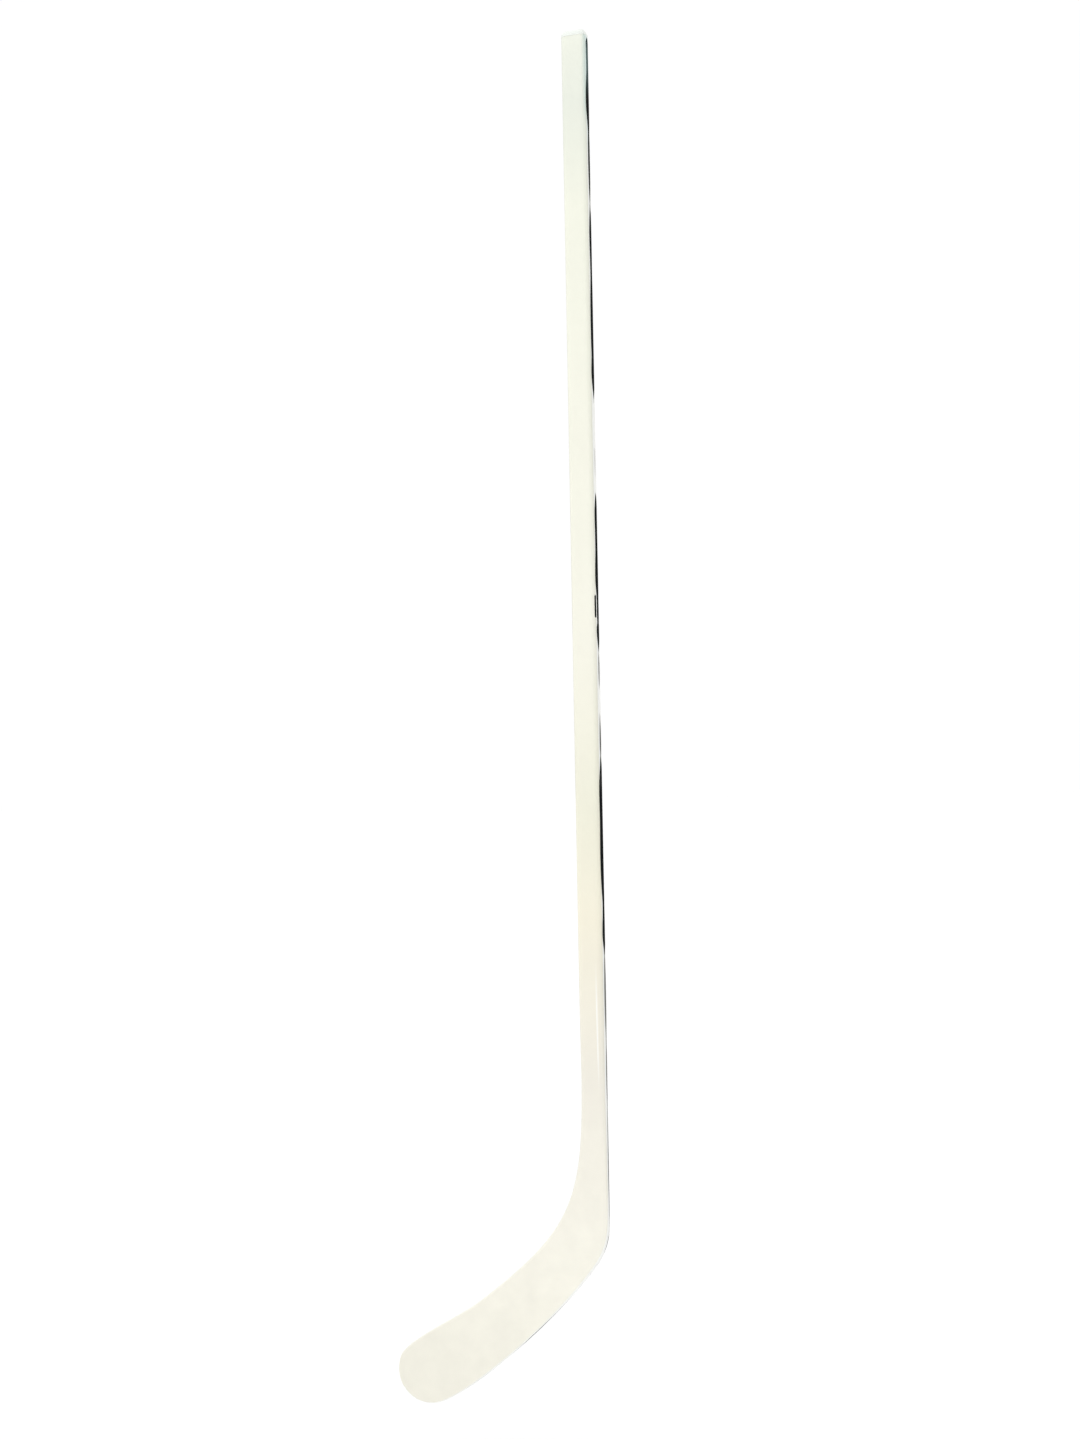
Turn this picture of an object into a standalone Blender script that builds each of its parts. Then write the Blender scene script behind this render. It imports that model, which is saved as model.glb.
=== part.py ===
"""Hockey-type stick with a long hollow shaft, a curved foam-cored blade and a push-in butt plug.

Metres, +Z up along the shaft, the photographed wide face towards -Y, the toe of the blade towards -X.
The origin lies on the shaft's centre line at the middle of the top hand's grip.

The outside of the stick is one lofted surface. Every cross-section is a flat rounded bar between a front edge
(shaft front, throat, top edge of the blade, toe) and a back edge (shaft back, heel, sole, toe). All inner pieces are
the same cross-sections set in by their depth under that surface.
"""

import math

import bmesh
import bpy
import numpy as np

# ----------------------------------------------------------------------------------------------------------------
# Driving dimensions
# ----------------------------------------------------------------------------------------------------------------
STICK_LENGTH = 1.448        # butt to heel, along the shaft
GRIP_TO_BUTT = 0.080        # middle of the top hand to the butt's top
SHAFT_WIDTH = 0.0302        # wide side of the shaft, along X
SHAFT_DEPTH = 0.0201        # narrow side of the shaft, along Y
SHAFT_CORNER = 0.0063       # corner radius of the shaft
SHAFT_WALL = 0.0019         # laminate of the hollow shaft
CLEARANCE = 0.0003          # between neighbouring pieces

BUTT_Z = GRIP_TO_BUTT
HEEL_Z = BUTT_Z - STICK_LENGTH      # level of the heel; blade heights below are counted from here

# butt plug
PLUG_FLANGE = 0.0070
PLUG_FILLET = 0.0050
PLUG_SPIGOT = 0.0450
PLUG_WALL = 0.0018
PLUG_RIBS = 5
PLUG_RIB_PITCH = 0.0080

# taper of the shaft and neck, heights above the heel
TAPER_TOP = 0.330
TAPER_END = 0.060
JOINT_H = 0.200             # shaft end meets the blade's neck
WRAP_HALF = 0.020           # half length of the wrap over that joint
WRAP_DEPTH = 0.0005
TENON_UP = 0.065            # tenon length inside the shaft
TENON_DOWN = 0.060          # tenon length inside the neck
TENON_WALL = 0.0015
BOND_DEPTH = 0.0005
FOAM_STOP = 0.030           # foam plug above the tenon
FAN_TOP = 0.138             # cross-sections are level down to here, and fan round the heel below it

# outline of the blade in the X-height plane
THROAT_TOP_H = 0.248
THROAT_PULL = 0.172
THROAT_END = (-0.1408, -0.0545)
THROAT_SLOPE = math.radians(38.0)
THROAT_END_PULL = 0.156
TOP_PULL = 0.035
TOE_TOP_ANGLE = math.radians(163.0)     # where the top edge runs into the toe's arc
TOE_TOP_PULL = 0.0195
HEEL_START_H = 0.042
HEEL_RADIUS = 0.084
HEEL_SLOPE = math.radians(54.0)
HEEL_PULL = 0.083
SOLE_END_SLOPE = math.radians(19.0)
SOLE_PULL = 0.039
TOE_CENTRE = (-0.1990, -0.1335)
TOE_RADIUS = 0.0396
TOE_AXIS = math.radians(213.0)      # where the front and back edges meet on the toe

# thickness of the blade
HEEL_THICK = 0.0092
MID_THICK = 0.0066
TOE_THICK = 0.0052
CORNER_RATIO = 0.42

# curve of the blade
CURVE_START = (0.012, 0.0)
CURVE_LENGTH = 0.290
CURVE_OFFSET = 0.030

# inside of the blade
NECK_SKIN = 0.0019
BLADE_SKIN = 0.0011
EDGE_BEAD = 0.0035
BRIDGE = 0.0024

# mesh density
ARC_STEPS = 4
CHORD_STEPS = 6
THROAT_ROWS = 19
BLADE_ROWS = 14
TOE_ROWS = 8


# ----------------------------------------------------------------------------------------------------------------
# Outline of the stick: every path is a list of (x, height, outward normal x, outward normal height)
# ----------------------------------------------------------------------------------------------------------------
def bezier(p0, p1, p2, p3, n):
    t = np.linspace(0.0, 1.0, n)[:, None]
    p0, p1, p2, p3 = (np.array(p, float) for p in (p0, p1, p2, p3))
    return (1 - t) ** 3 * p0 + 3 * (1 - t) ** 2 * t * p1 + 3 * (1 - t) * t * t * p2 + t ** 3 * p3


def arc(centre, radius, a0, a1, n):
    a = np.linspace(a0, a1, n)
    return np.column_stack([centre[0] + radius * np.cos(a), centre[1] + radius * np.sin(a)])


def direction(slope):
    """Unit step towards the toe, sloping down by the angle given."""
    return np.array([-math.cos(slope), -math.sin(slope)])


def front_edge():
    """From the throat's top down to the toe's middle, in three stretches."""
    top = np.array([-SHAFT_WIDTH / 2, THROAT_TOP_H])
    end = np.array(THROAT_END)
    throat = bezier(top, top - [0, THROAT_PULL], end - direction(THROAT_SLOPE) * THROAT_END_PULL, end, 400)
    a = TOE_TOP_ANGLE
    toe_start = np.array(TOE_CENTRE) + TOE_RADIUS * np.array([math.cos(a), math.sin(a)])
    corner = toe_start + TOE_TOP_PULL * np.array([math.sin(a), -math.cos(a)])
    edge = bezier(end, end + direction(THROAT_SLOPE) * TOP_PULL, corner, toe_start, 400)
    toe = arc(TOE_CENTRE, TOE_RADIUS, a, TOE_AXIS, 200)
    return throat, edge, toe


def back_edge():
    """From the throat's level down the back, round the heel, along the sole to the toe's middle."""
    x = SHAFT_WIDTH / 2
    back = np.column_stack([np.full(60, x), np.linspace(THROAT_TOP_H, HEEL_START_H, 60)])
    turn = math.pi / 2 - HEEL_SLOPE
    heel = arc((x - HEEL_RADIUS, HEEL_START_H), HEEL_RADIUS, 0.0, -turn, 200)
    a = -(math.pi / 2 - SOLE_END_SLOPE)
    toe_start = np.array(TOE_CENTRE) + TOE_RADIUS * np.array([math.cos(a), math.sin(a)])
    sole = bezier(heel[-1], heel[-1] + direction(HEEL_SLOPE) * HEEL_PULL,
                  toe_start - direction(SOLE_END_SLOPE) * SOLE_PULL, toe_start, 400)
    toe = arc(TOE_CENTRE, TOE_RADIUS, a, TOE_AXIS - 2 * math.pi, 200)
    return np.vstack([back[:-1], heel, sole[1:]]), toe


def along(points, fractions, side, centre=None):
    """Points at the given length fractions, with normals to the given side of the direction of travel,
    or away from the centre of an arc."""
    seg = np.diff(points, axis=0)
    length = np.concatenate([[0.0], np.cumsum(np.hypot(seg[:, 0], seg[:, 1]))])
    out = []
    for f in fractions:
        s = f * length[-1]
        k = min(int(np.searchsorted(length, s, side="right")) - 1, len(seg) - 1)
        w = (s - length[k]) / (length[k + 1] - length[k])
        p = points[k] + seg[k] * w
        lo, hi = max(k - 1, 0), min(k + 2, len(points) - 1)
        d = points[hi] - points[lo]
        d = d / np.hypot(*d)
        nx, nh = d[1] * side, -d[0] * side
        if centre is not None:
            nx, nh = (p - np.array(centre)) / np.hypot(*(p - np.array(centre)))
        out.append((p[0], p[1], nx, nh))
    return out


def smooth(t):
    t = min(max(t, 0.0), 1.0)
    return t * t * (3 - 2 * t)


def neck_thickness(h):
    return SHAFT_DEPTH + (HEEL_THICK - SHAFT_DEPTH) * smooth((TAPER_TOP - h) / (TAPER_TOP - TAPER_END))


def row(a, b, thick):
    return {"a": a, "b": b, "t": thick, "r": min(SHAFT_CORNER, CORNER_RATIO * thick)}


def level_row(h, throat=front_edge()[0]):
    """A level row of the shaft or the neck, at a height above the heel."""
    x = SHAFT_WIDTH / 2
    front = (-x, h, -1.0, 0.0)
    if h < THROAT_TOP_H:
        k = int(np.argmax(throat[:, 1] < h)) - 1
        w = (throat[k, 1] - h) / (throat[k, 1] - throat[k + 1, 1])
        p = throat[k] * (1 - w) + throat[k + 1] * w
        d = throat[k + 1] - throat[k]
        d = d / np.hypot(*d)
        front = (p[0], h, d[1], -d[0])
    return row(front, (x, h, 1.0, 0.0), neck_thickness(h))


def blade_rows():
    """Rows that fan round the throat and heel and run along the blade to the toe."""
    throat, edge, toe_a = front_edge()
    back, toe_b = back_edge()
    top = level_row(FAN_TOP)
    throat = np.vstack([[top["a"][:2]], throat[throat[:, 1] < FAN_TOP - 1e-5]])
    back = np.vstack([[top["b"][:2]], back[back[:, 1] < FAN_TOP - 1e-5]])
    # the sole point that faces the throat's end parts the throat's rows from the blade's rows
    facing = int(np.argmin(np.abs((back - np.array(THROAT_END)) @ direction(THROAT_SLOPE)) + (back[:, 1] > 0) * 1.0))
    first = back[: facing + 1]
    second = back[facing:]
    rows = [top]

    def add(pa, pb, n, thick, centre=None):
        for k in range(1, n + 1):
            f = k / n
            a = along(pa, [f], 1.0, centre)[0]
            b = along(pb, [f], -1.0, centre)[0]
            rows.append(row(a, b, thick(f, a, b)))

    add(throat, first, THROAT_ROWS,
        lambda f, a, b: neck_thickness(0.5 * (a[1] + b[1])) * (1 - smooth((f - 0.5) / 0.5)) + MID_THICK * smooth((f - 0.5) / 0.5))
    add(edge, second, BLADE_ROWS, lambda f, a, b: MID_THICK + (TOE_THICK - MID_THICK) * f)
    add(toe_a, toe_b, TOE_ROWS, lambda f, a, b: TOE_THICK, centre=TOE_CENTRE)
    return rows


def middle_y(x, h):
    """The blade's middle surface: flat at the heel, curving towards -Y at the toe."""
    u = (-(x - CURVE_START[0]) - (h - CURVE_START[1])) * math.sqrt(0.5)
    return -CURVE_OFFSET * (max(u, 0.0) / CURVE_LENGTH) ** 2


# ----------------------------------------------------------------------------------------------------------------
# Cross-sections
# ----------------------------------------------------------------------------------------------------------------
def place(x, h, y):
    return (x, middle_y(x, h) + y, HEEL_Z + h)


def inset_point(p, d):
    return np.array([p[0] - p[2] * d, p[1] - p[3] * d])


def half(rw, d, sign, depth=None):
    """One side of a section, from the front edge to the back edge, set in by d. sign -1 is the -Y side."""
    t = rw["t"] / 2 - (d if depth is None else depth)
    r = min(max(rw["r"] - d, 0.0006), t - 0.0003)
    pts = []
    for k in range(ARC_STEPS + 1):
        a = math.pi / 2 * k / ARC_STEPS
        p = inset_point(rw["a"], d + r * (1 - math.cos(a)))
        pts.append((p, t - r + r * math.sin(a)))
    pa, pb = inset_point(rw["a"], d + r), inset_point(rw["b"], d + r)
    for k in range(1, CHORD_STEPS):
        w = k / CHORD_STEPS
        pts.append((pa + (pb - pa) * w, t))
    for k in range(ARC_STEPS, -1, -1):
        a = math.pi / 2 * k / ARC_STEPS
        p = inset_point(rw["b"], d + r * (1 - math.cos(a)))
        pts.append((p, t - r + r * math.sin(a)))
    return [place(p[0], p[1], sign * y) for p, y in pts]


def loop(rw, d):
    """A whole closed section: the -Y side forwards, then the +Y side back."""
    return half(rw, d, -1.0) + half(rw, d, 1.0)[::-1]


# ----------------------------------------------------------------------------------------------------------------
# Meshes
# ----------------------------------------------------------------------------------------------------------------
def make(name, verts, faces, colour, roughness, metallic=0.0, origin=(0.0, 0.0, 0.0), sharp=35.0, parent=None):
    o = np.array(origin)
    bm = bmesh.new()
    vs = [bm.verts.new(np.array(v) - o) for v in verts]
    for f in faces:
        try:
            bm.faces.new([vs[i] for i in f])
        except ValueError:
            pass
    bmesh.ops.remove_doubles(bm, verts=bm.verts, dist=0.00002)
    bmesh.ops.dissolve_degenerate(bm, edges=bm.edges, dist=0.00001)
    bmesh.ops.recalc_face_normals(bm, faces=bm.faces)
    if bm.calc_volume(signed=True) < 0:
        bmesh.ops.reverse_faces(bm, faces=bm.faces)
    me = bpy.data.meshes.new(name)
    bm.to_mesh(me)
    bm.free()
    me.shade_smooth()
    me.set_sharp_from_angle(angle=math.radians(sharp))
    mat = bpy.data.materials.new(name + "_material")
    mat.use_nodes = True
    bsdf = mat.node_tree.nodes["Principled BSDF"]
    bsdf.inputs["Base Color"].default_value = (*colour, 1.0)
    bsdf.inputs["Roughness"].default_value = roughness
    bsdf.inputs["Metallic"].default_value = metallic
    me.materials.append(mat)
    ob = bpy.data.objects.new(name, me)
    ob.location = origin
    if parent is not None:
        ob.parent = parent
        ob.location = tuple(o - np.array(parent.location))
    bpy.context.scene.collection.objects.link(ob)
    return ob


def skinned(rings, closed=True):
    """Quads between successive rings of equal length."""
    verts = [p for r in rings for p in r]
    n = len(rings[0])
    faces = []
    for i in range(len(rings) - 1):
        for k in range(n if closed else n - 1):
            k2 = (k + 1) % n
            faces.append((i * n + k, i * n + k2, (i + 1) * n + k2, (i + 1) * n + k))
    return verts, faces


def ladder(base, n):
    """Rungs across a closed section whose second half runs back along the first."""
    m = n // 2
    return [(base + k, base + k + 1, base + n - 2 - k, base + n - 1 - k) for k in range(m - 1)]


def solid(name, stations, **kw):
    """A closed bar through the stations given as (row, inset), with a laddered face on each end."""
    rings = [loop(rw, d) for rw, d in stations]
    verts, faces = skinned(rings)
    n = len(rings[0])
    faces += ladder(0, n) + ladder((len(rings) - 1) * n, n)
    return make(name, verts, faces, **kw)


def tube(name, outer, inner, **kw):
    """An open-ended tube: outer stations down, inner stations back up."""
    rings = [loop(rw, d) for rw, d in outer] + [loop(rw, d) for rw, d in reversed(inner)]
    verts, faces = skinned(rings + [rings[0]])
    return make(name, verts, faces, **kw)


def shell_half(name, stations, sign, **kw):
    """One side of the blade: stations are (row, outer inset, inner inset), parted along the middle surface."""
    gap = CLEARANCE / 2

    def edge(rw, d, which):
        p = inset_point(rw[which], d)
        return place(p[0], p[1], sign * gap)

    rings = []
    for rw, do, di in stations:
        outer = [edge(rw, do, "a")] + half(rw, do, sign) + [edge(rw, do, "b")]
        inner = [edge(rw, di, "a")] + half(rw, di, sign) + [edge(rw, di, "b")]
        rings.append(outer + inner[::-1])
    verts, faces = skinned(rings)
    n = len(rings[0])
    m = n // 2
    faces += [(k, k + 1, n - 2 - k, n - 1 - k) for k in range(m - 1)]
    return make(name, verts, faces, **kw)


def rim(name, rows, depth_of, width, **kw):
    """A bead that follows the front edge to the toe and comes back along the back edge, rounded on its outer side."""
    rings = []
    for which, seq in (("a", rows), ("b", rows[-2::-1])):
        for rw in seq:
            d = depth_of(rw)
            t = rw["t"] / 2 - d
            r = min(max(rw["r"] - d, 0.0006), t - 0.0003)
            side = []
            for k in range(4):
                a = math.pi / 2 * k / 3
                side.append((d + r * (1 - math.cos(a)), t - r + r * math.sin(a)))
            side.append((d + width, t))
            ring = [(dd, -y) for dd, y in side] + [(dd, y) for dd, y in side[::-1]]
            rings.append([place(*inset_point(rw[which], dd), y) for dd, y in ring])
    verts, faces = skinned(rings)
    n = len(rings[0])
    faces += ladder(0, n) + ladder((len(rings) - 1) * n, n)
    return make(name, verts, faces, **kw)


def strip(name, rows, ends, depth_of, **kw):
    """A bar between two points of each row: ends(row) gives the front and back point of its section."""
    rings = []
    steps = 3
    for rw in rows:
        p, q = ends(rw)
        t = rw["t"] / 2 - depth_of(rw)
        side = [p + (q - p) * k / steps for k in range(steps + 1)]
        rings.append([place(s[0], s[1], -t) for s in side] + [place(s[0], s[1], t) for s in side[::-1]])
    verts, faces = skinned(rings)
    n = len(rings[0])
    faces += ladder(0, n) + ladder((len(rings) - 1) * n, n)
    return make(name, verts, faces, **kw)


# ----------------------------------------------------------------------------------------------------------------
# The pieces
# ----------------------------------------------------------------------------------------------------------------
def build():
    for ob in list(bpy.data.objects):
        bpy.data.objects.remove(ob, do_unlink=True)

    ivory = (0.88, 0.86, 0.76)
    butt_h = STICK_LENGTH                        # the butt's top, as a height above the heel
    shaft_top = butt_h - PLUG_FLANGE - CLEARANCE
    recess = WRAP_DEPTH + CLEARANCE
    half_gap = CLEARANCE / 2

    # hollow shaft, with a shallow recess at its lower end for the wrap
    heights = [shaft_top, 0.345, 0.330, 0.310, 0.290, 0.270, 0.250, 0.235, JOINT_H + WRAP_HALF]
    outer = [(level_row(h), 0.0) for h in heights]
    outer += [(level_row(h), recess) for h in (JOINT_H + WRAP_HALF, JOINT_H + half_gap)]
    inner = [(level_row(h), SHAFT_WALL) for h in heights + [JOINT_H + WRAP_HALF, JOINT_H + half_gap]]
    tube("shaft_tube", outer, inner, colour=ivory, roughness=0.35)

    # butt plug: flange with a rounded top edge, ribbed hollow spigot open at the bottom
    axis = bpy.data.objects.new("plug_axis", None)
    axis.location = (0.0, 0.0, BUTT_Z - PLUG_FLANGE)
    bpy.context.scene.collection.objects.link(axis)
    sec = level_row(butt_h)

    def at(h, d):
        rw = dict(sec)
        rw["a"] = (sec["a"][0], h, -1.0, 0.0)
        rw["b"] = (sec["b"][0], h, 1.0, 0.0)
        return rw, d

    rib = SHAFT_WALL + CLEARANCE
    root = rib + 0.0007
    profile = []
    for k in range(5):
        a = math.pi / 2 * k / 4
        profile.append(at(butt_h - PLUG_FILLET * (1 - math.sin(math.pi / 2 - a)), PLUG_FILLET * (1 - math.sin(a))))
    under = butt_h - PLUG_FLANGE
    profile += [at(under, 0.0), at(under, root)]
    for k in range(PLUG_RIBS):
        top = under - 0.0045 - k * PLUG_RIB_PITCH
        profile += [at(top, root), at(top - 0.0010, rib), at(top - 0.0022, rib), at(top - 0.0040, root)]
    tip = under - PLUG_SPIGOT
    profile += [at(tip + 0.0015, root), at(tip, root + 0.0006), at(tip, root + PLUG_WALL), at(under - 0.0020, root + PLUG_WALL)]
    solid("butt_plug", profile, colour=(0.90, 0.91, 0.87), roughness=0.5, origin=(0.0, 0.0, BUTT_Z - PLUG_FLANGE), parent=axis)

    # tenon, its foam, its bond line, and the foam stop above it
    bond_out = SHAFT_WALL + CLEARANCE
    tenon_out = bond_out + BOND_DEPTH + CLEARANCE
    tenon_in = tenon_out + TENON_WALL
    up, down = JOINT_H + TENON_UP, JOINT_H - TENON_DOWN

    def run(h0, h1):
        """Level rows from one height down to another."""
        marks = (0.310, 0.290, 0.270, 0.250, 0.235, 0.220, 0.210, 0.200, 0.190, 0.180, 0.170, 0.160, 0.150)
        return [level_row(h) for h in [h0] + [m for m in marks if h1 + 0.001 < m < h0 - 0.001] + [h1]]

    rows = run(up, down)
    tube("blade_tenon", [(r, tenon_out) for r in rows], [(r, tenon_in) for r in rows], colour=(0.05, 0.05, 0.055), roughness=0.5)
    rows = run(up - 0.0010, down + 0.0010)
    solid("tenon_foam", [(r, tenon_in + CLEARANCE) for r in rows], colour=(0.80, 0.72, 0.52), roughness=0.9)
    rows = run(up - 0.0040, down + 0.0040)
    tube("tenon_bond", [(r, bond_out) for r in rows], [(r, bond_out + BOND_DEPTH) for r in rows], colour=(0.72, 0.62, 0.36), roughness=0.3)
    rows = [level_row(h) for h in (up + 0.0010 + FOAM_STOP, up + 0.0010 + FOAM_STOP / 2, up + 0.0010)]
    solid("shaft_foam_stop", [(r, bond_out) for r in rows], colour=(0.80, 0.72, 0.52), roughness=0.9)

    # wrap over the joint
    rows = run(JOINT_H + WRAP_HALF - CLEARANCE, JOINT_H - WRAP_HALF + CLEARANCE)
    tube("joint_wrap", [(r, 0.0) for r in rows], [(r, WRAP_DEPTH) for r in rows], colour=ivory, roughness=0.35)

    # blade skins, from the neck to the toe
    def skin(rw):
        h = 0.5 * (rw["a"][1] + rw["b"][1])
        return BLADE_SKIN + (NECK_SKIN - BLADE_SKIN) * smooth((h - 0.06) / 0.07)

    wrapped = run(JOINT_H - half_gap, JOINT_H - WRAP_HALF)
    open_neck = run(JOINT_H - WRAP_HALF, FAN_TOP + 0.006)
    stations = [(r, recess, skin(r)) for r in wrapped] + [(r, 0.0, skin(r)) for r in open_neck]
    stations += [(r, 0.0, skin(r)) for r in blade_rows()]
    shell_half("blade_face_forehand", stations, -1.0, colour=ivory, roughness=0.35)
    shell_half("blade_face_backhand", stations, 1.0, colour=ivory, roughness=0.35)

    # edge bead inside the skins, the bridge and the two foam cores
    core_top = down - 0.0006
    inside = [level_row(core_top)] + blade_rows()[1:]
    depth = lambda rw: skin(rw) + CLEARANCE
    rim("blade_edge_bead", inside, depth, EDGE_BEAD, colour=(0.07, 0.07, 0.075), roughness=0.5)

    def middle(rw):
        core_in = depth(rw) + EDGE_BEAD + CLEARANCE
        p, q = inset_point(rw["a"], core_in), inset_point(rw["b"], core_in)
        return 0.5 * (p + q), p, q

    long_rows = []
    for rw in inside:
        m, p, q = middle(rw)
        if np.hypot(*(q - p)) > 0.012:
            long_rows.append(rw)

    def bridge_ends(rw):
        m, p, q = middle(rw)
        d = (q - p) / np.hypot(*(q - p))
        return m - d * BRIDGE / 2, m + d * BRIDGE / 2

    def upper_ends(rw):
        m, p, q = middle(rw)
        d = (q - p) / np.hypot(*(q - p))
        return p, m - d * (BRIDGE / 2 + CLEARANCE)

    def lower_ends(rw):
        m, p, q = middle(rw)
        d = (q - p) / np.hypot(*(q - p))
        return m + d * (BRIDGE / 2 + CLEARANCE), q

    strip("blade_bridge", long_rows, bridge_ends, depth, colour=(0.05, 0.05, 0.055), roughness=0.5)
    strip("blade_core_upper", long_rows, upper_ends, depth, colour=(0.82, 0.74, 0.55), roughness=0.9)
    strip("blade_core_lower", long_rows, lower_ends, depth, colour=(0.82, 0.74, 0.55), roughness=0.9)


build()
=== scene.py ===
import math

import bmesh
import bpy
import numpy as np
from mathutils import Matrix, Vector


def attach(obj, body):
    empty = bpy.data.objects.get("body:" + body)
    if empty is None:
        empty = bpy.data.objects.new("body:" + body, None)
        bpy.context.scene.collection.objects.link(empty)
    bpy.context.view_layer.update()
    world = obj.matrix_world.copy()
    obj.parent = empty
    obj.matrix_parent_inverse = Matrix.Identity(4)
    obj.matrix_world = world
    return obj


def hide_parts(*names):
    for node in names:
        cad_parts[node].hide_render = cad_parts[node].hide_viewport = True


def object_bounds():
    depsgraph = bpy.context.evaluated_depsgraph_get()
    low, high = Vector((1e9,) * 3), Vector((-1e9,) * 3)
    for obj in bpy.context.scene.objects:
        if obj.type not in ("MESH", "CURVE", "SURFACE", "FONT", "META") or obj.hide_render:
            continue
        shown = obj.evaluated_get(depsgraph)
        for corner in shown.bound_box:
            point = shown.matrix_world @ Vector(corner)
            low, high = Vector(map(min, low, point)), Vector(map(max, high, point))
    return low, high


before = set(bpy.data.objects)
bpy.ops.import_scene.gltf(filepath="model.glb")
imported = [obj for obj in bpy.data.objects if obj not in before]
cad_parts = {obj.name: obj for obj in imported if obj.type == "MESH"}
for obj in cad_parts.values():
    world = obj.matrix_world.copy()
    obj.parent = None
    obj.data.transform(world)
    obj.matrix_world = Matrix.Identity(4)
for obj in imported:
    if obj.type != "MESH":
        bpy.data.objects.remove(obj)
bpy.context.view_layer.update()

# ----------------------------------------------------------------------------------------------------------------
# Driving dimensions, the same as the solid model's, in metres
# ----------------------------------------------------------------------------------------------------------------
STICK_LENGTH = 1.448
GRIP_TO_BUTT = 0.080
SHAFT_WIDTH = 0.0302
SHAFT_DEPTH = 0.0201
SHAFT_CORNER = 0.0063
SHAFT_WALL = 0.0019
CLEARANCE = 0.0003
BUTT_Z = GRIP_TO_BUTT
HEEL_Z = BUTT_Z - STICK_LENGTH

PLUG_FLANGE = 0.0070
PLUG_FILLET = 0.0050
PLUG_SPIGOT = 0.0450
PLUG_WALL = 0.0018
PLUG_RIBS = 5
PLUG_RIB_PITCH = 0.0080
SEAM_LAP = 0.00018      # the visible flange comes this much nearer to the shaft's end

TAPER_TOP = 0.330
TAPER_END = 0.060
JOINT_H = 0.200
WRAP_HALF = 0.020
WRAP_DEPTH = 0.0005
FAN_TOP = 0.138

THROAT_TOP_H = 0.248
THROAT_PULL = 0.172
THROAT_END = (-0.1408, -0.0545)
THROAT_SLOPE = math.radians(38.0)
THROAT_END_PULL = 0.156
TOP_PULL = 0.035
TOE_TOP_ANGLE = math.radians(163.0)
TOE_TOP_PULL = 0.0195
HEEL_START_H = 0.042
HEEL_RADIUS = 0.084
HEEL_SLOPE = math.radians(54.0)
HEEL_PULL = 0.083
SOLE_END_SLOPE = math.radians(19.0)
SOLE_PULL = 0.039
TOE_CENTRE = (-0.1990, -0.1335)
TOE_RADIUS = 0.0396
TOE_AXIS = math.radians(213.0)

HEEL_THICK = 0.0092
MID_THICK = 0.0066
TOE_THICK = 0.0052
CORNER_RATIO = 0.42

CURVE_START = (0.012, 0.0)
CURVE_LENGTH = 0.290
CURVE_OFFSET = 0.030

NECK_SKIN = 0.0019
BLADE_SKIN = 0.0011

# density of the visible surface
ARCS = 8
SHAFT_CHORDS = 6
BLADE_CHORDS = 18
THROAT_ROWS = 57
BLADE_ROWS = 42
TOE_ROWS = 32


# ----------------------------------------------------------------------------------------------------------------
# Outline of the stick
# ----------------------------------------------------------------------------------------------------------------
def bezier(p0, p1, p2, p3, n):
    t = np.linspace(0.0, 1.0, n)[:, None]
    p0, p1, p2, p3 = (np.array(p, float) for p in (p0, p1, p2, p3))
    return (1 - t) ** 3 * p0 + 3 * (1 - t) ** 2 * t * p1 + 3 * (1 - t) * t * t * p2 + t ** 3 * p3


def arc(centre, radius, a0, a1, n):
    a = np.linspace(a0, a1, n)
    return np.column_stack([centre[0] + radius * np.cos(a), centre[1] + radius * np.sin(a)])


def direction(slope):
    return np.array([-math.cos(slope), -math.sin(slope)])


def front_edge():
    top = np.array([-SHAFT_WIDTH / 2, THROAT_TOP_H])
    end = np.array(THROAT_END)
    throat = bezier(top, top - [0, THROAT_PULL], end - direction(THROAT_SLOPE) * THROAT_END_PULL, end, 400)
    a = TOE_TOP_ANGLE
    toe_start = np.array(TOE_CENTRE) + TOE_RADIUS * np.array([math.cos(a), math.sin(a)])
    corner = toe_start + TOE_TOP_PULL * np.array([math.sin(a), -math.cos(a)])
    edge = bezier(end, end + direction(THROAT_SLOPE) * TOP_PULL, corner, toe_start, 400)
    toe = arc(TOE_CENTRE, TOE_RADIUS, a, TOE_AXIS, 200)
    return throat, edge, toe


def back_edge():
    x = SHAFT_WIDTH / 2
    back = np.column_stack([np.full(60, x), np.linspace(THROAT_TOP_H, HEEL_START_H, 60)])
    turn = math.pi / 2 - HEEL_SLOPE
    heel = arc((x - HEEL_RADIUS, HEEL_START_H), HEEL_RADIUS, 0.0, -turn, 200)
    a = -(math.pi / 2 - SOLE_END_SLOPE)
    toe_start = np.array(TOE_CENTRE) + TOE_RADIUS * np.array([math.cos(a), math.sin(a)])
    sole = bezier(heel[-1], heel[-1] + direction(HEEL_SLOPE) * HEEL_PULL,
                  toe_start - direction(SOLE_END_SLOPE) * SOLE_PULL, toe_start, 400)
    toe = arc(TOE_CENTRE, TOE_RADIUS, a, TOE_AXIS - 2 * math.pi, 200)
    return np.vstack([back[:-1], heel, sole[1:]]), toe


def along(points, fraction, side, centre=None):
    seg = np.diff(points, axis=0)
    length = np.concatenate([[0.0], np.cumsum(np.hypot(seg[:, 0], seg[:, 1]))])
    s = fraction * length[-1]
    k = min(int(np.searchsorted(length, s, side="right")) - 1, len(seg) - 1)
    w = (s - length[k]) / (length[k + 1] - length[k])
    p = points[k] + seg[k] * w
    lo, hi = max(k - 1, 0), min(k + 2, len(points) - 1)
    d = points[hi] - points[lo]
    d = d / np.hypot(*d)
    nx, nh = d[1] * side, -d[0] * side
    if centre is not None:
        nx, nh = (p - np.array(centre)) / np.hypot(*(p - np.array(centre)))
    return (p[0], p[1], nx, nh)


def smooth(t):
    t = min(max(t, 0.0), 1.0)
    return t * t * (3 - 2 * t)


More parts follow.
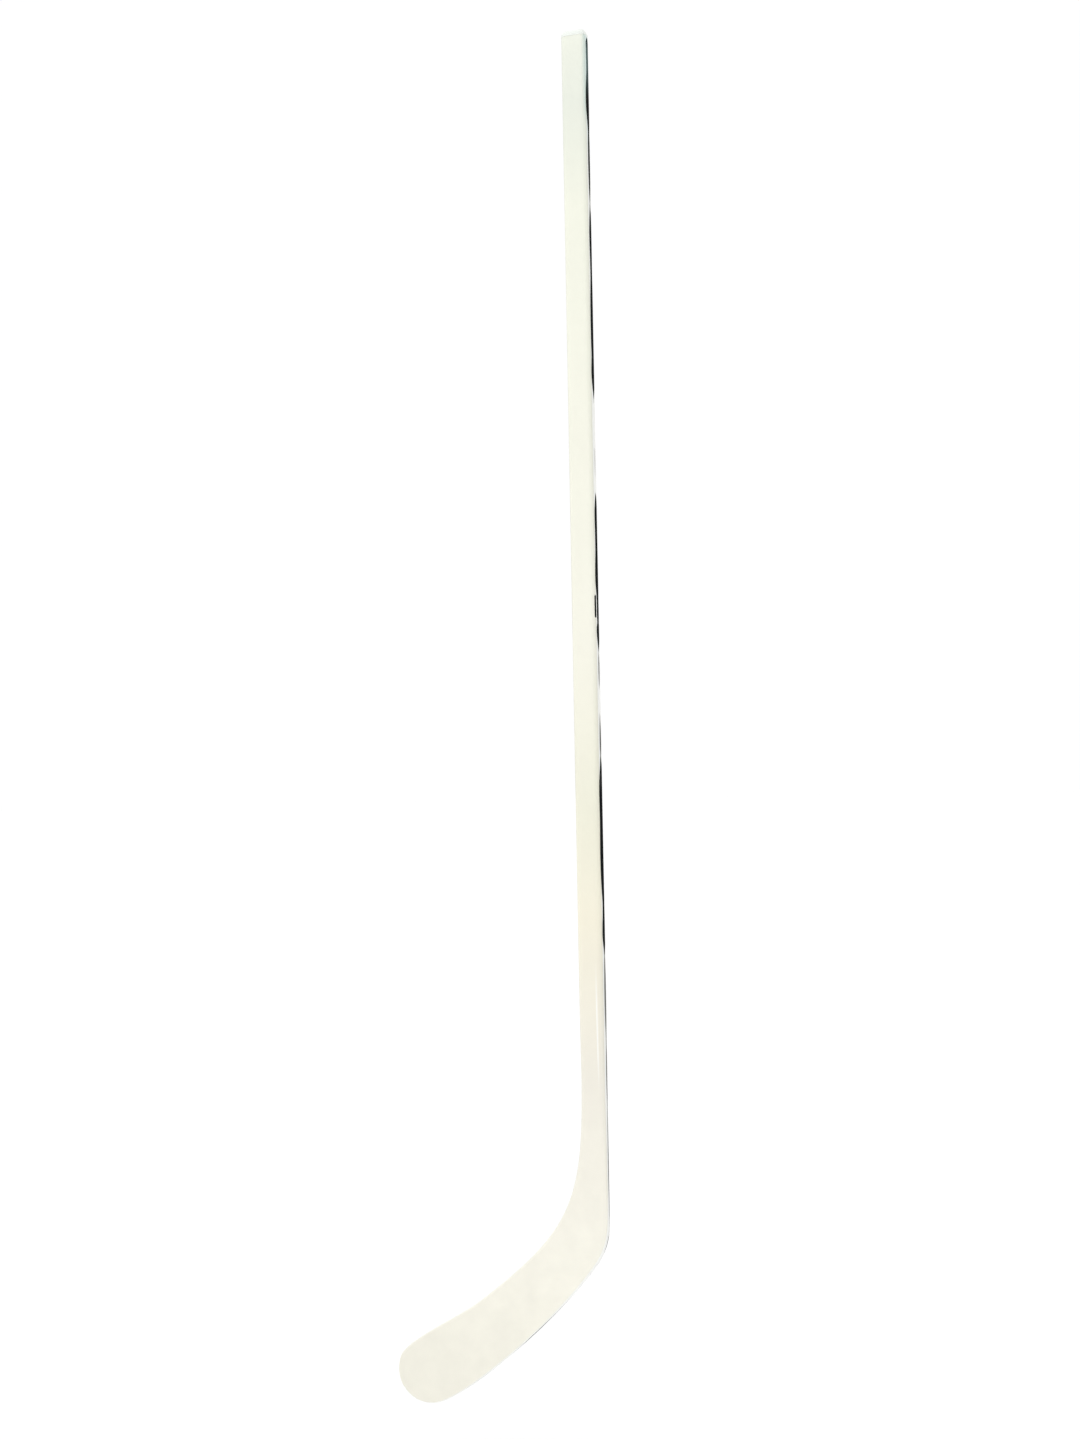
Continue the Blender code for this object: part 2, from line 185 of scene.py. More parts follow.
def neck_thickness(h):
    return SHAFT_DEPTH + (HEEL_THICK - SHAFT_DEPTH) * smooth((TAPER_TOP - h) / (TAPER_TOP - TAPER_END))


def row(a, b, thick):
    return {"a": a, "b": b, "t": thick, "r": min(SHAFT_CORNER, CORNER_RATIO * thick)}


def level_row(h, throat=front_edge()[0]):
    x = SHAFT_WIDTH / 2
    front = (-x, h, -1.0, 0.0)
    if h < THROAT_TOP_H:
        k = int(np.argmax(throat[:, 1] < h)) - 1
        w = (throat[k, 1] - h) / (throat[k, 1] - throat[k + 1, 1])
        p = throat[k] * (1 - w) + throat[k + 1] * w
        d = throat[k + 1] - throat[k]
        d = d / np.hypot(*d)
        front = (p[0], h, d[1], -d[0])
    return row(front, (x, h, 1.0, 0.0), neck_thickness(h))


def blade_rows():
    throat, edge, toe_a = front_edge()
    back, toe_b = back_edge()
    top = level_row(FAN_TOP)
    throat = np.vstack([[top["a"][:2]], throat[throat[:, 1] < FAN_TOP - 1e-5]])
    back = np.vstack([[top["b"][:2]], back[back[:, 1] < FAN_TOP - 1e-5]])
    facing = int(np.argmin(np.abs((back - np.array(THROAT_END)) @ direction(THROAT_SLOPE)) + (back[:, 1] > 0) * 1.0))
    first = back[: facing + 1]
    second = back[facing:]
    rows = [top]

    def add(pa, pb, n, thick, centre=None):
        for k in range(1, n + 1):
            f = k / n
            a = along(pa, f, 1.0, centre)
            b = along(pb, f, -1.0, centre)
            rows.append(row(a, b, thick(f, a, b)))

    add(throat, first, THROAT_ROWS,
        lambda f, a, b: neck_thickness(0.5 * (a[1] + b[1])) * (1 - smooth((f - 0.5) / 0.5)) + MID_THICK * smooth((f - 0.5) / 0.5))
    add(edge, second, BLADE_ROWS, lambda f, a, b: MID_THICK + (TOE_THICK - MID_THICK) * f)
    add(toe_a, toe_b, TOE_ROWS, lambda f, a, b: TOE_THICK, centre=TOE_CENTRE)
    return rows


def middle_y(x, h):
    u = (-(x - CURVE_START[0]) - (h - CURVE_START[1])) * math.sqrt(0.5)
    return -CURVE_OFFSET * (max(u, 0.0) / CURVE_LENGTH) ** 2


def place(x, h, y):
    return (x, middle_y(x, h) + y, HEEL_Z + h)


def inset_point(p, d):
    return np.array([p[0] - p[2] * d, p[1] - p[3] * d])


def half(rw, d, sign, chords, outer_t=None):
    """One side of a section from the front edge's middle to the back edge's middle, set in by d.
    Each point is (position, distance from the front middle along the skin). sign -1 is the -Y side."""
    t = rw["t"] / 2 - d
    r = min(max(rw["r"] - d, 0.0006), t - 0.0003)
    p = inset_point(rw["a"], d)
    pts = [(p, 0.0, 0.0)]
    s = t - r
    for k in range(ARCS + 1):
        a = math.pi / 2 * k / ARCS
        pts.append((inset_point(rw["a"], d + r * (1 - math.cos(a))), t - r + r * math.sin(a), s + r * a))
    s += r * math.pi / 2
    pa, pb = inset_point(rw["a"], d + r), inset_point(rw["b"], d + r)
    span = float(np.hypot(*(pb - pa)))
    for k in range(1, chords):
        w = k / chords
        pts.append((pa + (pb - pa) * w, t, s + span * w))
    s += span
    for k in range(ARCS, -1, -1):
        a = math.pi / 2 * k / ARCS
        pts.append((inset_point(rw["b"], d + r * (1 - math.cos(a))), t - r + r * math.sin(a), s + r * (math.pi / 2 - a)))
    s += r * math.pi / 2 + t - r
    pts.append((inset_point(rw["b"], d), 0.0, s))
    return [(place(q[0], q[1], sign * y), dist, s) for q, y, dist in pts]


# ----------------------------------------------------------------------------------------------------------------
# Painted stripes on the narrow sides: half width of the dark ink at a distance below the butt, in metres
# ----------------------------------------------------------------------------------------------------------------
# each stroke: (start, widest at, end, half width, share of black); strokes that overlap run smoothly into one another
SIDE_STRIPES = [
    (0.0076, 0.0135, 0.0960, 0.0054, 1.00),
    (0.0420, 0.0890, 0.1250, 0.0070, 1.00),
    (0.0980, 0.1570, 0.2150, 0.0045, 0.98),
    (0.2060, 0.2480, 0.3000, 0.0054, 1.00),
    (0.2570, 0.3530, 0.4480, 0.0063, 1.00),
    (0.3870, 0.4170, 0.4400, 0.0052, 1.00),
    (0.4960, 0.5120, 0.5350, 0.0014, 0.60),
    (0.5500, 0.5820, 0.6290, 0.0060, 1.00),
    (0.5920, 0.6530, 0.6870, 0.0068, 1.00),
    (0.6670, 0.6960, 0.7120, 0.0046, 1.00),
    (0.7040, 0.7140, 0.7410, 0.0060, 1.00),
    (0.7370, 0.7620, 0.7850, 0.0026, 0.85),
    (0.8120, 0.8470, 0.8660, 0.0034, 0.90),
    (0.8590, 0.9040, 1.0580, 0.0071, 1.00),
    (0.9340, 1.0050, 1.0560, 0.0054, 1.00),
    (1.0310, 1.0700, 1.0960, 0.0063, 1.00),
    (1.0830, 1.1400, 1.2010, 0.0042, 0.82),
    (1.1840, 1.2330, 1.2740, 0.0025, 0.85),
    (1.2440, 1.3360, 1.4140, 0.0020, 0.80),
    (1.4160, 1.4260, 1.4460, 0.0019, 0.80),
    (1.4900, 1.5650, 1.6200, 0.0026, 0.95),
    (1.6060, 1.6500, 1.6950, 0.0018, 0.70),
]
# short bars set in from the stripes: (start, end, nearest and farthest distance from the side's middle)
SIDE_TICKS = [(0.6720, 0.7010, 0.0060, 0.0087)]
STRIPE_BLUNTNESS = 2.2
STRIPE_LIMIT = 0.0074
# the front edge's stripes are the narrower ones
FRONT_STRIPE_LIMIT = 0.0046
# the front edge of the blade, from the neck on, carries no stripe
FRONT_EDGE_BARE = 1.190


def stripe(run):
    """(half width, share of black) of the side stripe at a distance along the edge from the butt's top."""
    square, inked = 0.0, 0.0
    for start, peak, end, w, share in SIDE_STRIPES:
        if start < run < end:
            t = (run - start) / (peak - start) if run < peak else (end - run) / (end - peak)
            v = w * (1 - (1 - t) ** STRIPE_BLUNTNESS)
            square += v * v
            inked += v * v * share
    if square == 0.0:
        return 0.0, 0.0
    return min(math.sqrt(square), STRIPE_LIMIT), inked / square


# ----------------------------------------------------------------------------------------------------------------
# Meshes
# ----------------------------------------------------------------------------------------------------------------
def key(p):
    return (round(p[0] * 1e6), round(p[1] * 1e6), round(p[2] * 1e6))


MASTER = {}     # normals of the stick's whole outer surface, by place


def learn_normals(rows, chords):
    """Smooth normals of the outer surface, taken over both sides at once so that pieces meet without a crease."""
    rings = []
    for rw in rows:
        front = [p for p, *_ in half(rw, 0.0, -1.0, chords)]
        rear = [p for p, *_ in half(rw, 0.0, 1.0, chords)]
        rings.append(front + rear[-2:0:-1])
    pts = np.array(rings)
    total = {}
    n = pts.shape[1]
    for i in range(len(rings) - 1):
        for k in range(n):
            quad = [(i, k), (i, (k + 1) % n), (i + 1, (k + 1) % n), (i + 1, k)]
            q = [pts[c] for c in quad]
            normal = np.cross(q[2] - q[0], q[3] - q[1])
            for c in quad:
                total[key(pts[c])] = total.get(key(pts[c]), np.zeros(3)) + normal
    middle = pts.mean(axis=1)
    for i in range(len(rings)):
        for k in range(n):
            at = key(pts[i, k])
            v = total[at]
            size = np.linalg.norm(v)
            if size > 0:
                MASTER[at] = v / size
    return pts, middle


def mesh(name, verts, faces, slots, outer=None, values=None, sharp=32.0):
    """A closed mesh. slots holds (material, indices of the faces that wear it); outer marks the faces that take
    their normals from the whole surface; values holds a number for each vertex, by attribute name."""
    index, first, where = {}, [], []
    for i, p in enumerate(verts):
        at = key(p)
        if at not in index:
            index[at] = len(first)
            first.append(i)
        where.append(index[at])
    slot_of = np.zeros(len(faces), int)
    for s, (material, which) in enumerate(slots):
        slot_of[list(which)] = s
    bm = bmesh.new()
    slot_layer = bm.faces.layers.int.new("slot_number")
    outer_layer = bm.faces.layers.int.new("outer_face")
    vs = [bm.verts.new(verts[i]) for i in first]
    outer = set() if outer is None else set(outer)
    for i, f in enumerate(faces):
        ring = []
        for v in (where[j] for j in f):
            if v not in ring:
                ring.append(v)
        if len(ring) < 3:
            continue
        try:
            face = bm.faces.new([vs[v] for v in ring])
        except ValueError:
            continue
        face[slot_layer] = int(slot_of[i])
        face[outer_layer] = int(i in outer)
        face.material_index = int(slot_of[i])
    bmesh.ops.recalc_face_normals(bm, faces=bm.faces)
    if bm.calc_volume(signed=True) < 0:
        bmesh.ops.reverse_faces(bm, faces=bm.faces)
    me = bpy.data.meshes.new(name)
    bm.to_mesh(me)
    bm.free()
    me.shade_smooth()
    me.set_sharp_from_angle(angle=math.radians(sharp))
    for label, numbers in (values or {}).items():
        attribute = me.attributes.new(label, "FLOAT", "POINT")
        attribute.data.foreach_set("value", np.array([numbers[i] for i in first], np.float32))
    if outer:
        flags = np.zeros(len(me.polygons), np.int32)
        me.attributes["outer_face"].data.foreach_get("value", flags)
        normals = [(0.0, 0.0, 0.0)] * len(me.loops)
        for poly in me.polygons:
            if not flags[poly.index]:
                continue
            facing = np.array(poly.normal)
            for li in poly.loop_indices:
                v = MASTER.get(key(me.vertices[me.loops[li].vertex_index].co))
                if v is not None:
                    v = v if v @ facing > 0 else -v
                    if v @ facing > 0.8:
                        normals[li] = tuple(v)
        me.normals_split_custom_set(normals)
    for label in ("slot_number", "outer_face"):
        me.attributes.remove(me.attributes[label])
    for material, which in slots:
        me.materials.append(material)
    ob = bpy.data.objects.new(name, me)
    bpy.context.scene.collection.objects.link(ob)
    return ob


def skin_values(rw, ring, run_a, run_b):
    """Per point of a half section: the distance along the stick, where it is on the corner, and its ink."""
    t, r = rw["t"] / 2, rw["r"]
    corner_end = (t - r) + r * math.pi / 2
    out = []
    for _, s, total in ring:
        back = total - s
        near = min(s, back)
        share = s / total if total > 0 else 0.5
        run = run_a * (1 - share) + run_b * share
        side = 1.0 - near / corner_end
        edge_run = run_b if back < s else run_a
        w, black = stripe(edge_run)
        if s <= back:
            w = min(w, FRONT_STRIPE_LIMIT) if edge_run < FRONT_EDGE_BARE else 0.0
        # the stripe keeps to the narrow side, whatever the blade's thickness
        w = min(w, corner_end * 0.60)
        ink = w - near if w > 0 else -near - 0.0005
        for start, end, lo, hi in SIDE_TICKS:
            if start < edge_run < end and back < s:
                tick = min(near - lo, hi - near)
                if tick > ink:
                    ink, black = tick, 1.0
        out.append((run, side, ink * 1000.0, black, 1.0 if back < s else 0.0))
    return out


LABELS = ("run", "side", "ink", "black", "rear")


def lathe(name, stations, slots_of, closed_ring, caps=(False, False), values_of=None, outer_of=None, sharp=32.0):
    """Skins rings of equal length into a closed mesh. slots_of(i, k) gives the slot of the quad between rings i and
    i + 1 at column k."""
    verts = [p for ring in stations for p in ring]
    n = len(stations[0])
    faces, slot, outer = [], [], []
    for i in range(len(stations) - 1):
        for k in range(n if closed_ring else n - 1):
            k2 = (k + 1) % n
            if outer_of is not None and outer_of(i, k):
                outer.append(len(faces))
            faces.append((i * n + k, i * n + k2, (i + 1) * n + k2, (i + 1) * n + k))
            slot.append(slots_of(i, k))
    m = n // 2
    for on, base, where in ((caps[0], 0, 0), (caps[1], (len(stations) - 1) * n, len(stations) - 2)):
        if on:
            for k in range(m):
                a, b = base + k, base + k + 1
                c, d = base + (n - k - 1) % n, base + (n - k) % n
                faces.append((a, b, c, d))
                slot.append(slots_of(where, 0))
    return verts, faces, slot, outer


def full_ring(rw, d, chords):
    front = half(rw, d, -1.0, chords)
    rear = half(rw, d, 1.0, chords)
    return front + rear[-2:0:-1]


# ----------------------------------------------------------------------------------------------------------------
# Materials
# ----------------------------------------------------------------------------------------------------------------
class Tree:
    """A material's node tree, built by small calls."""

    def __init__(self, name):
        self.material = bpy.data.materials.new(name)
        self.material.use_nodes = True
        self.nt = self.material.node_tree
        self.bsdf = self.nt.nodes["Principled BSDF"]

    def put(self, node, sockets):
        for k, v in sockets.items():
            s = node.inputs[k]
            if isinstance(v, bpy.types.NodeSocket):
                self.nt.links.new(v, s)
            else:
                s.default_value = v
        return node

    def math(self, op, a, b=0.0, c=0.0, clamp=False):
        n = self.nt.nodes.new("ShaderNodeMath")
        n.operation = op
        n.use_clamp = clamp
        return self.put(n, {0: a, 1: b, 2: c}).outputs[0]

    def vmath(self, op, a, b=(0.0, 0.0, 0.0)):
        n = self.nt.nodes.new("ShaderNodeVectorMath")
        n.operation = op
        return self.put(n, {0: a, 1: b}).outputs[0]

    def attribute(self, name):
        n = self.nt.nodes.new("ShaderNodeAttribute")
        n.attribute_name = name
        return n.outputs["Fac"]

    def place(self):
        return self.nt.nodes.new("ShaderNodeTexCoord").outputs["Object"]

    def normal(self):
        return self.nt.nodes.new("ShaderNodeTexCoord").outputs["Normal"]

    def noise(self, scale, detail=2.0, rough=0.5, vector=None, stretch=None):
        vector = self.place() if vector is None else vector
        if stretch:
            vector = self.vmath("MULTIPLY", vector, stretch)
        n = self.nt.nodes.new("ShaderNodeTexNoise")
        return self.put(n, {"Vector": vector, "Scale": scale, "Detail": detail, "Roughness": rough}).outputs["Fac"]

    def cells(self, scale, feature="DISTANCE_TO_EDGE", vector=None):
        vector = self.place() if vector is None else vector
        n = self.nt.nodes.new("ShaderNodeTexVoronoi")
        n.feature = feature
        return self.put(n, {"Vector": vector, "Scale": scale}).outputs["Distance"]

    def remap(self, v, a, b, c=0.0, d=1.0, steps="LINEAR"):
        n = self.nt.nodes.new("ShaderNodeMapRange")
        n.interpolation_type = steps
        n.clamp = True
        return self.put(n, {"Value": v, "From Min": a, "From Max": b, "To Min": c, "To Max": d}).outputs[0]

    def ramp(self, v, stops):
        n = self.nt.nodes.new("ShaderNodeValToRGB")
        e = n.color_ramp.elements
        while len(e) < len(stops):
            e.new(0.5)
        for el, (at, colour) in zip(e, stops):
            el.position = at
            el.color = (*colour, 1.0)
        return self.put(n, {0: v}).outputs["Color"]

    def mix(self, fac, a, b, blend="MIX"):
        n = self.nt.nodes.new("ShaderNodeMix")
        n.data_type = "RGBA"
        n.blend_type = blend
        a = (*a, 1.0) if isinstance(a, tuple) and len(a) == 3 else a
        b = (*b, 1.0) if isinstance(b, tuple) and len(b) == 3 else b
        self.put(n, {0: fac, 6: a, 7: b})
        return n.outputs[2]

    def scale(self, colour, value):
        n = self.nt.nodes.new("ShaderNodeVectorMath")
        n.operation = "SCALE"
        self.put(n, {0: colour, "Scale": value})
        return n.outputs[0]

    def bump(self, height, strength, distance, normal=None):
        n = self.nt.nodes.new("ShaderNodeBump")
        self.put(n, {"Height": height, "Strength": strength, "Distance": distance})
        if normal is not None:
            self.nt.links.new(normal, n.inputs["Normal"])
        return n.outputs["Normal"]

    def finish(self, **sockets):
        self.put(self.bsdf, {k.replace("_", " "): v for k, v in sockets.items()})
        return self.material


def twill(t, pitch):
    """Over-and-under pattern of a woven laminate, by the two directions across each side of a flat bar."""
    axes = t.nt.nodes.new("ShaderNodeSeparateXYZ")
    t.nt.links.new(t.place(), axes.inputs[0])
    facing = t.nt.nodes.new("ShaderNodeSeparateXYZ")
    t.nt.links.new(t.vmath("ABSOLUTE", t.normal()), facing.inputs[0])
    on_side = t.math("GREATER_THAN", facing.outputs[0], facing.outputs[1])
    across = t.math("ADD", t.math("MULTIPLY", axes.outputs[0], t.math("SUBTRACT", 1.0, on_side)),
                    t.math("MULTIPLY", axes.outputs[1], on_side))
    u = t.math("DIVIDE", t.math("ADD", across, axes.outputs[2]), pitch)
    v = t.math("DIVIDE", t.math("SUBTRACT", across, axes.outputs[2]), pitch)
    step = t.math("ADD", t.math("FLOOR", u), t.math("FLOOR", v))
    over = t.math("LESS_THAN", t.math("FLOORED_MODULO", step, 4.0), 2.0)
    round_u = t.math("PINGPONG", u, 0.5)
    round_v = t.math("PINGPONG", v, 0.5)
    crown = t.math("ADD", t.math("MULTIPLY", round_u, over), t.math("MULTIPLY", round_v, t.math("SUBTRACT", 1.0, over)))
    return over, crown, u, v


def painted_laminate():
    """Pale ivory lacquer over the laminate, cooler on the grip, with matt black stripes on the narrow sides, and
    painted highlights, shade and teal reflections along the corners.
    """
    t = Tree("ivory_lacquer")
    run, side, ink = t.attribute("run"), t.attribute("side"), t.attribute("ink")
    black, rear = t.attribute("black"), t.attribute("rear")
    # the lacquer's tints: cool white grip, ivory shaft, a yellower and a warmer stretch, ivory blade, greyer toe
    tone = t.ramp(t.math("DIVIDE", run, 1.75), [
        (0.00, (0.89, 0.91, 0.81)),
        (0.05, (0.82, 0.85, 0.76)),
        (0.12, (0.91, 0.92, 0.80)),
        (0.42, (0.92, 0.91, 0.80)),
        (0.53, (0.87, 0.86, 0.72)),
        (0.60, (0.91, 0.87, 0.72)),
        (0.71, (0.87, 0.84, 0.75)),
        (0.83, (0.92, 0.90, 0.80)),
        (1.00, (0.87, 0.85, 0.75)),
    ])
    patches = t.noise(26.0, 3.0, 0.55, stretch=(1.0, 1.0, 0.45))
    clouds = t.noise(120.0, 3.0, 0.6)
    grain = t.noise(900.0, 2.0, 0.5)
    shade = t.math("ADD", t.math("ADD", t.math("MULTIPLY", patches, 0.055), t.math("MULTIPLY", clouds, 0.030)),
                   t.math("MULTIPLY", grain, 0.012))
    shade = t.math("ADD", shade, 0.9515)
    cloudy = t.math("MULTIPLY", t.math("SUBTRACT", t.noise(52.0, 2.0, 0.5), 0.5), t.remap(run, 1.20, 1.42, 0.0, 0.085, "SMOOTHSTEP"))
    shade = t.math("ADD", shade, cloudy)
    colour = t.scale(tone, shade)
    # a teal cast on the corner at the top of the grip, beside the stripe: a painted reflection
    teal_reflection = t.math("MULTIPLY", t.remap(side, 0.10, 0.42, 0.0, 1.0, "SMOOTHSTEP"), t.remap(run, 0.120, 0.085, 0.0, 0.60, "SMOOTHSTEP"))
    teal_reflection = t.math("MULTIPLY", teal_reflection, rear)
    colour = t.mix(teal_reflection, colour, (0.640, 0.800, 0.750))
    # the narrow side is white lacquer, partly a painted highlight, from past the corner's middle on
    # and along the blade's sole from the corner's start on, where the white over the corner is a painted highlight
    on_blade = t.remap(run, 1.360, 1.450, 0.0, 1.0, "SMOOTHSTEP")
    reach = t.math("ADD", side, t.math("MULTIPLY", t.math("MULTIPLY", rear, on_blade), 0.34))
    white = t.remap(reach, 0.475, 0.565, 0.0, 0.92, "SMOOTHSTEP")
    # near the top of the grip the white turns bluish: a painted reflection
    blue_painted_reflection = t.math("MULTIPLY", t.remap(run, 0.150, 0.090), rear)
    colour = t.mix(white, colour, t.mix(blue_painted_reflection, (0.955, 0.962, 0.930), (0.790, 0.905, 0.885)))
    # an uneven dark greenish hairline along the corner, just short of the white
    line = t.math("SUBTRACT", 1.0, t.math("MULTIPLY", t.math("ABSOLUTE", t.math("SUBTRACT", side, 0.445)), 13.0), clamp=True)
    wander = t.remap(t.noise(14.0, 2.0, 0.6, stretch=(0.2, 0.2, 1.0)), 0.40, 0.62, 0.30, 1.0)
    line = t.math("MULTIPLY", line, t.math("SUBTRACT", 1.0, on_blade))
    depth = t.math("ADD", 0.20, t.remap(run, 0.20, 0.10, 0.0, 0.10))
    colour = t.mix(t.math("MULTIPLY", line, t.math("MULTIPLY", wander, depth)), colour, (0.33, 0.36, 0.30))
    # a painted highlight line along the corner's start above the neck, and a painted shadow line just past it
    painted_highlight_line = t.math("SUBTRACT", 1.15, t.math("MULTIPLY", t.math("ABSOLUTE", t.math("ADD", side, 0.135)), 11.0), clamp=True)
    above_neck = t.math("MULTIPLY", t.remap(run, 1.095, 1.160, 0.0, 1.0, "SMOOTHSTEP"), t.remap(run, 1.255, 1.205, 0.0, 1.0, "SMOOTHSTEP"))
    above_neck = t.math("MULTIPLY", above_neck, rear)
    colour = t.mix(t.math("MULTIPLY", t.math("MULTIPLY", painted_highlight_line, above_neck), 0.90), colour, (0.985, 0.985, 0.940))
    shadow = t.math("SUBTRACT", 1.0, t.math("MULTIPLY", t.math("ABSOLUTE", t.math("SUBTRACT", side, 0.06)), 14.0), clamp=True)
    colour = t.mix(t.math("MULTIPLY", t.math("MULTIPLY", shadow, above_neck), 0.10), colour, (0.45, 0.44, 0.38))
    # ink; near the top of the first stripe it turns teal-grey, a painted reflection
    ragged = t.math("MULTIPLY", t.math("SUBTRACT", t.noise(700.0, 3.0, 0.6), 0.5), 0.22)
    covered = t.remap(t.math("ADD", ink, ragged), -0.03, 0.05)
    covered = t.math("MULTIPLY", covered, black)
    thin = t.remap(t.noise(60.0, 4.0, 0.65, stretch=(1.0, 1.0, 0.30)), 0.30, 0.42, 0.965, 1.0)
    covered = t.math("MULTIPLY", covered, thin)
    pale = t.math("MULTIPLY", t.remap(run, 0.011, 0.024, 0.25, 1.0), t.remap(run, 0.082, 0.040, 0.0, 1.0))
    ink_with_painted_reflection = t.mix(pale, (0.010, 0.011, 0.012), (0.100, 0.145, 0.140))
    colour = t.mix(covered, colour, ink_with_painted_reflection)
    # scuffs where the edges knock against things
    scuff = t.remap(t.noise(310.0, 5.0, 0.7, stretch=(1.0, 1.0, 0.55)), 0.655, 0.70, 0.0, 0.5)
    scuff = t.math("MULTIPLY", scuff, t.remap(side, 0.45, 0.95))
    colour = t.mix(t.math("MULTIPLY", scuff, 0.5), colour, (0.62, 0.60, 0.53))
    rough = t.math("ADD", t.math("MULTIPLY", clouds, 0.10), 0.30)
    rough = t.math("ADD", rough, t.math("MULTIPLY", covered, 0.32))
    rough = t.math("ADD", rough, t.math("MULTIPLY", scuff, 0.25), clamp=True)
    clear = t.math("MULTIPLY", t.math("SUBTRACT", 1.0, t.math("MULTIPLY", covered, 0.98)),
                   t.math("SUBTRACT", 0.42, t.math("MULTIPLY", scuff, 0.4)))
    # orange peel, and the weave showing faintly through the lacquer of the blade
    over, crown, u, v = twill(t, 0.0030)
    shows = t.remap(run, 1.22, 1.46, 0.0, 1.0, "SMOOTHSTEP")
    peel = t.noise(420.0, 2.0, 0.5)
    grip = t.math("MULTIPLY", t.noise(1500.0, 2.0, 0.6), t.remap(run, 0.30, 0.22))
    height = t.math("ADD", peel, t.math("MULTIPLY", t.math("MULTIPLY", crown, shows), 0.55))
    height = t.math("ADD", height, t.math("MULTIPLY", grip, 0.5))
    bumped = t.bump(height, 0.22, 0.00010)
    return t.finish(Base_Color=colour, Roughness=rough, Coat_Weight=clear, Coat_Roughness=0.10, Specular_IOR_Level=0.0,
                    Normal=bumped)


def bare_laminate(name="bare_laminate_weave", pitch=0.0020):
    """Black woven laminate, each tow painted lighter along its crown in its own direction, a painted sheen."""
    t = Tree(name)
    over, crown, u, v = twill(t, pitch)
    threads = t.noise(5200.0, 2.0, 0.6, stretch=(1.0, 1.0, 0.25))
    painted_sheen = t.math("ADD", t.math("MULTIPLY", crown, 0.9), t.math("MULTIPLY", threads, 0.35))
    tone = t.ramp(painted_sheen, [(0.0, (0.006, 0.006, 0.007)), (0.45, (0.022, 0.023, 0.026)), (1.0, (0.060, 0.062, 0.068))])
    tone = t.mix(t.math("MULTIPLY", over, 0.35), tone, (0.045, 0.047, 0.052))
    dust = t.remap(t.noise(70.0, 4.0, 0.6), 0.52, 0.74, 0.0, 0.10)
    tone = t.mix(dust, tone, (0.34, 0.33, 0.30))
    rough = t.math("ADD", 0.30, t.math("MULTIPLY", over, 0.14))
    rough = t.math("ADD", rough, t.math("MULTIPLY", threads, 0.10))
    bumped = t.bump(t.math("ADD", crown, t.math("MULTIPLY", threads, 0.15)), 0.5, 0.00012)
    return t.finish(Base_Color=tone, Roughness=rough, Coat_Weight=0.25, Coat_Roughness=0.18, Normal=bumped)


def plug_plastic():
    """Cool white moulded plastic with a fine spark-eroded grain."""
    t = Tree("plug_moulding")
    patches = t.noise(55.0, 3.0, 0.55)
    flecks = t.noise(1400.0, 2.0, 0.6)
    tone = t.ramp(patches, [(0.30, (0.895, 0.930, 0.880)), (0.70, (0.925, 0.958, 0.912))])
    tone = t.scale(tone, t.math("ADD", 0.975, t.math("MULTIPLY", flecks, 0.05)))
    marks = t.remap(t.noise(240.0, 5.0, 0.7), 0.66, 0.72, 0.0, 0.35)
    tone = t.mix(marks, tone, (0.60, 0.62, 0.58))
    # the end face is made darker, in a mottled grey
    axes = t.nt.nodes.new("ShaderNodeSeparateXYZ")
    t.nt.links.new(t.place(), axes.inputs[0])
    end = t.remap(axes.outputs[2], BUTT_Z - 0.00060, BUTT_Z - 0.00045)
    end_face_grey = t.ramp(t.noise(210.0, 5.0, 0.65), [(0.34, (0.66, 0.67, 0.64)), (0.52, (0.79, 0.81, 0.78)), (0.70, (0.86, 0.885, 0.845))])
    tone = t.mix(t.math("MULTIPLY", end, 0.90), tone, end_face_grey)
    # the spigot, inside the shaft, has rubbed on the laminate and keeps a film of hot-melt glue between its ribs
    inside = t.remap(axes.outputs[2], BUTT_Z - PLUG_FLANGE - 0.0002, BUTT_Z - PLUG_FLANGE - 0.0012)
    glue = t.remap(t.noise(150.0, 4.0, 0.6, stretch=(1.0, 1.0, 0.5)), 0.42, 0.56)
    rubbed = t.mix(glue, (0.700, 0.715, 0.690), (0.780, 0.705, 0.520))
    tone = t.mix(t.math("MULTIPLY", inside, 0.85), tone, rubbed)
    rough = t.math("ADD", 0.42, t.math("MULTIPLY", flecks, 0.18))
    rough = t.math("SUBTRACT", rough, t.math("MULTIPLY", t.math("MULTIPLY", inside, glue), 0.20))
    bumped = t.bump(t.math("ADD", flecks, t.math("MULTIPLY", t.math("MULTIPLY", inside, glue), 1.5)), 0.30, 0.00008)
    return t.finish(Base_Color=tone, Roughness=rough, Coat_Weight=0.0, Specular_IOR_Level=0.35, Normal=bumped)


def epoxy():
    """Amber adhesive, thicker here and thinner there, with trapped air."""
    t = Tree("cured_epoxy")
    flow = t.noise(90.0, 4.0, 0.6)
    tone = t.ramp(flow, [(0.30, (0.52, 0.36, 0.12)), (0.55, (0.68, 0.50, 0.22)), (0.75, (0.80, 0.65, 0.36))])
    air = t.remap(t.cells(900.0, "F1"), 0.10, 0.22, 1.0, 0.0)
    tone = t.mix(t.math("MULTIPLY", air, 0.5), tone, (0.90, 0.84, 0.66))
    rough = t.remap(flow, 0.3, 0.7, 0.16, 0.34)
    bumped = t.bump(t.math("ADD", flow, t.math("MULTIPLY", air, 0.4)), 0.35, 0.00020)
    return t.finish(Base_Color=tone, Roughness=rough, Coat_Weight=0.2, Coat_Roughness=0.08, Normal=bumped)


